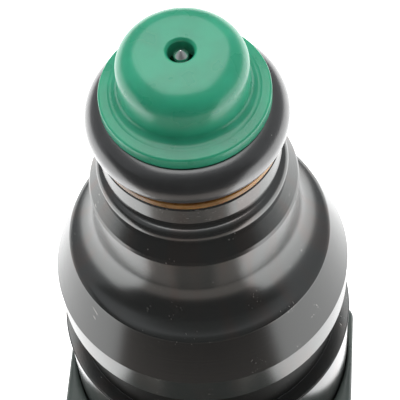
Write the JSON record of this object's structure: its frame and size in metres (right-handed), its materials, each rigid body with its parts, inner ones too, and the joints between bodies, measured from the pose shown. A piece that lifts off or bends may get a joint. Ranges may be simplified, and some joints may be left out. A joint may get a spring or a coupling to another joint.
{
  "type": "fuel injector",
  "caption": "Top-feed pintle fuel injector with a green spray-tip cap, O-ring seals at both ends, a stepped black steel body and a slanted side connector socket.",
  "frame": {"origin": "centre of the inlet end's flat face, where the fuel rail's cup holds the injector", "axes": "+Z along the injector's long axis towards the spray tip; the connector faces close to -Y, 9 degrees from it towards -X"},
  "size_m": [0.0279, 0.0443, 0.0767],
  "materials": {
    "green_plastic": "moulded, soft gloss",
    "black_rubber": "satin, oiled",
    "amber_plastic": "translucent amber, gloss",
    "black_steel": "glossy black coating over turned steel",
    "ground_steel": "fine ground",
    "soft_iron": "turned, plated",
    "core_steel": "satin, drawn",
    "spring_steel": "bright wire",
    "bobbin_plastic": "natural glass-filled nylon",
    "enamelled_wire": "enamelled copper wire",
    "brass": "satin",
    "nylon_mesh": "fine woven mesh",
    "dark_plastic": "moulded glass-filled nylon, fine grain",
    "tinned_terminal": "tin plate"
  },
  "bodies": {
    "injector_body": {"pintle_cap": "green_plastic", "lower_o_ring": "black_rubber", "lower_backing_ring": "amber_plastic", "nozzle_holder": "black_steel", "valve_body": "ground_steel", "stop_shim": "ground_steel", "outer_housing": "black_steel", "inlet_core": "core_steel", "flux_washer": "soft_iron", "coil_bobbin": "bobbin_plastic", "coil_winding": "enamelled_wire", "bobbin_seal_inlet": "black_rubber", "bobbin_seal_tip": "black_rubber", "housing_seal": "black_rubber", "return_spring": "spring_steel", "adjusting_tube": "core_steel", "filter_sleeve": "brass", "filter_screen": "nylon_mesh", "upper_o_ring": "black_rubber", "upper_backing_ring": "amber_plastic", "connector_body": "dark_plastic", "terminal_left": "tinned_terminal", "terminal_right": "tinned_terminal"},
    "valve_needle": {"needle": "ground_steel", "armature": "soft_iron"}
  },
  "joints": [
    {"name": "needle_lift", "type": "slide", "parent": "injector_body", "child": "valve_needle", "axis": [0, 0, -1], "range_m": [0, 0.0002], "stiffness_N_per_m": 400, "springref_m": -0.004, "deforming": ["return_spring"]}
  ]
}
